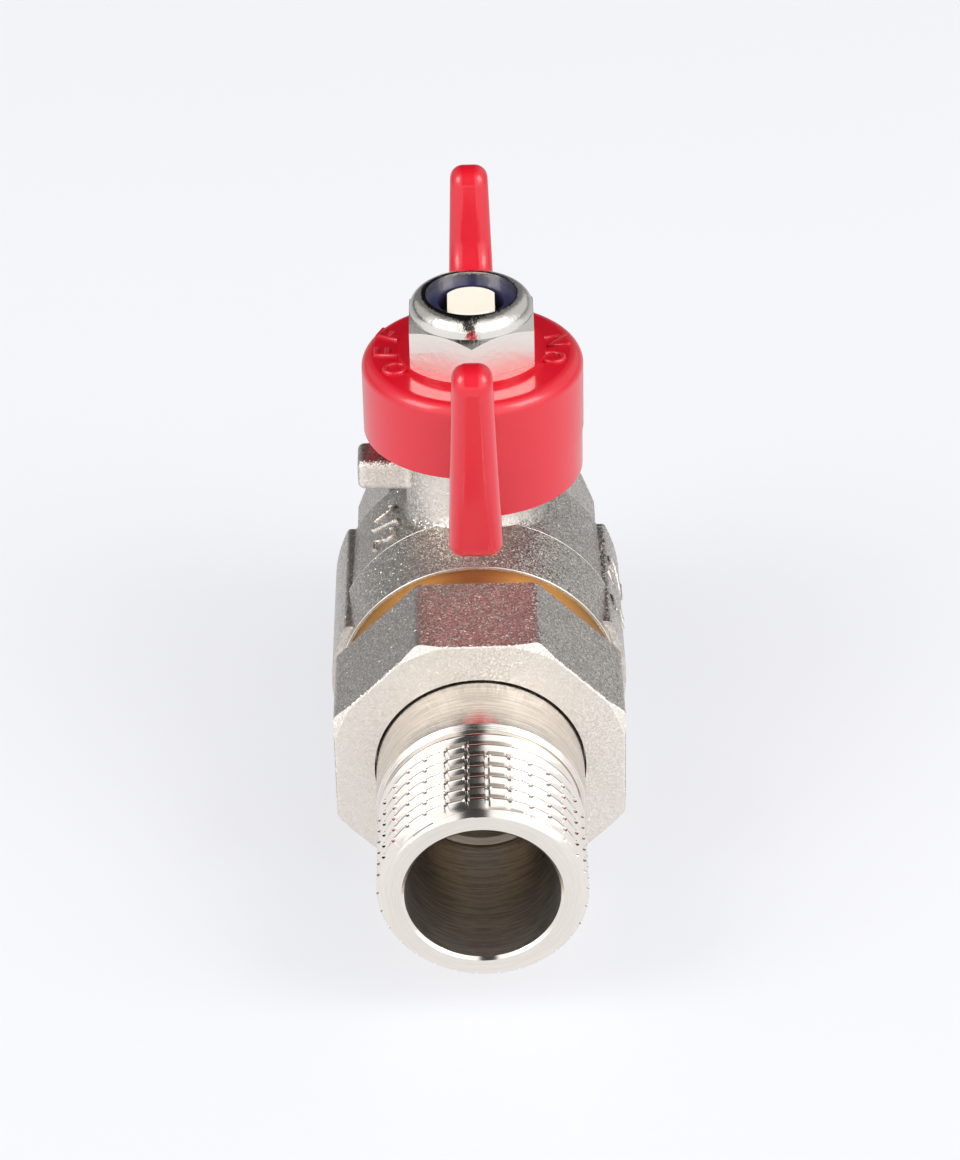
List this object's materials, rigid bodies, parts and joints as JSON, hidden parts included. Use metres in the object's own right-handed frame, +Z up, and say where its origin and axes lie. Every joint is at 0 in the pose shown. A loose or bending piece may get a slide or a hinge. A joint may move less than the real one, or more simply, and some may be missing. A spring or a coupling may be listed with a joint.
{
  "type": "isolating ball valve",
  "caption": "Isolating ball valve with an octagonal union nut, a threaded male tail, a female pipe port and an upright butterfly handle.",
  "frame": {"origin": "centre of the female pipe port's mouth, on the flow axis", "axes": "+Y along the flow axis, out of the female port; the threaded tail points to -Y; +Z up along the stem, X to the side"},
  "size_m": [0.0314, 0.0759, 0.0584],
  "materials": {
    "plated_brass": "blasted and nickel plated",
    "plated_turned": "turned and nickel plated",
    "raw_brass": "turned",
    "stem_brass": "turned, pale",
    "chromed_ball": "polished and chromed",
    "red_paint": "glossy red paint on a die casting",
    "plated_steel": "bright zinc plated",
    "navy_nylon": "moulded",
    "white_ptfe": "smooth",
    "black_rubber": "moulded",
    "fibre_gasket": "pressed fibre"
  },
  "bodies": {
    "valve": {"valve_body": "plated_brass", "end_connector": "raw_brass", "connector_o_ring": "black_rubber", "seat_front": "white_ptfe", "seat_rear": "white_ptfe", "stem_packing": "white_ptfe", "gland_nut": "raw_brass"},
    "handle": {"handle": "red_paint", "handle_nut": "plated_steel", "handle_nut_insert": "navy_nylon", "stem": "stem_brass", "ball": "chromed_ball", "stem_thrust_washer": "white_ptfe", "stem_o_ring_lower": "black_rubber", "stem_o_ring_upper": "black_rubber"},
    "tail": {"tail_piece": "plated_turned", "union_gasket": "fibre_gasket"},
    "union_nut": {"union_nut": "plated_brass"}
  },
  "joints": [
    {"name": "handle_turn", "type": "hinge", "parent": "valve", "child": "handle", "pos_m": [0, -0.0225, 0], "axis": [0, 0, 1], "range_deg": [-90, 0]},
    {"name": "tail_slide", "type": "slide", "parent": "valve", "child": "tail", "axis": [0, -1, 0], "range_m": [0, 0.0091]},
    {"name": "union_nut_turn", "type": "hinge", "parent": "tail", "child": "union_nut", "pos_m": [0, -0.047, 0], "axis": [0, -1, 0], "range_deg": [0, 1800]}
  ],
  "couplings": [
    {"joint": "tail_slide", "follows": "union_nut_turn", "m_per_rad": 0.00028871}
  ]
}
